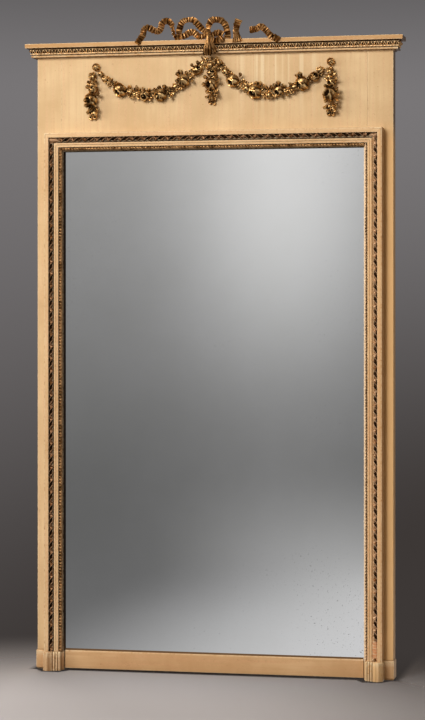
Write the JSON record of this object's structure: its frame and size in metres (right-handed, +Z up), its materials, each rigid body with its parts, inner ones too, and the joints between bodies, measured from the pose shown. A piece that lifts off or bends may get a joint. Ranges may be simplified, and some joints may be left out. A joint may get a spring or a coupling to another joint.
{
  "type": "trumeau mirror",
  "caption": "Tall pier mirror in a painted and parcel-gilt frame, with flower garlands on its frieze, a moulded cornice and a carved ribbon crest.",
  "frame": {"origin": "on the floor, in the middle of the object's width and depth", "axes": "+X to the object's right as seen from the front, -Y out of the mirror's face, +Z up"},
  "size_m": [1.258, 0.098, 2.1467],
  "materials": {
    "painted_wood": "old cream distemper paint, satin, worn at its edges",
    "gilt_wood": "water gilding, rubbed, with dark bole and dirt in its hollows",
    "mirror_plate": "old silvered plate, clouded and foxed",
    "softwood": "unpainted, aged, sawn"
  },
  "bodies": {
    "root": {"left_stile": "painted_wood", "right_stile": "painted_wood", "frieze_panel": "painted_wood", "cap_board": "painted_wood", "base_rail": "painted_wood", "left_plinth_block": "painted_wood", "right_plinth_block": "painted_wood", "left_outer_plinth": "painted_wood", "right_outer_plinth": "painted_wood", "frame_left": "painted_wood", "frame_right": "painted_wood", "frame_head": "painted_wood", "cornice_front": "painted_wood", "cornice_left_return": "painted_wood", "cornice_right_return": "painted_wood", "ribbon_twist_left": "gilt_wood", "ribbon_twist_right": "gilt_wood", "ribbon_twist_head": "gilt_wood", "pearls_left": "gilt_wood", "pearls_right": "gilt_wood", "pearls_head": "gilt_wood", "left_corner_leaf": "gilt_wood", "right_corner_leaf": "gilt_wood", "leaf_band_front": "gilt_wood", "leaf_band_left": "gilt_wood", "leaf_band_right": "gilt_wood", "left_swag": "gilt_wood", "right_swag": "gilt_wood", "left_drop": "gilt_wood", "centre_drop": "gilt_wood", "right_drop": "gilt_wood", "left_rosette": "gilt_wood", "right_rosette": "gilt_wood", "crest_knot": "gilt_wood", "crest_left_tail": "gilt_wood", "crest_left_loop": "gilt_wood", "crest_right_loop": "gilt_wood", "crest_right_stub": "gilt_wood", "crest_right_tail": "gilt_wood", "mirror_plate": "mirror_plate", "hanging_cleat": "softwood", "left_batten": "softwood", "right_batten": "softwood", "backboard_1": "softwood", "backboard_2": "softwood", "backboard_3": "softwood", "backboard_4": "softwood", "backboard_5": "softwood", "left_glazing_block_1": "softwood", "left_glazing_block_2": "softwood", "left_glazing_block_3": "softwood", "right_glazing_block_1": "softwood", "right_glazing_block_2": "softwood", "right_glazing_block_3": "softwood", "left_top_glazing_block": "softwood", "right_top_glazing_block": "softwood"}
  },
  "joints": []
}
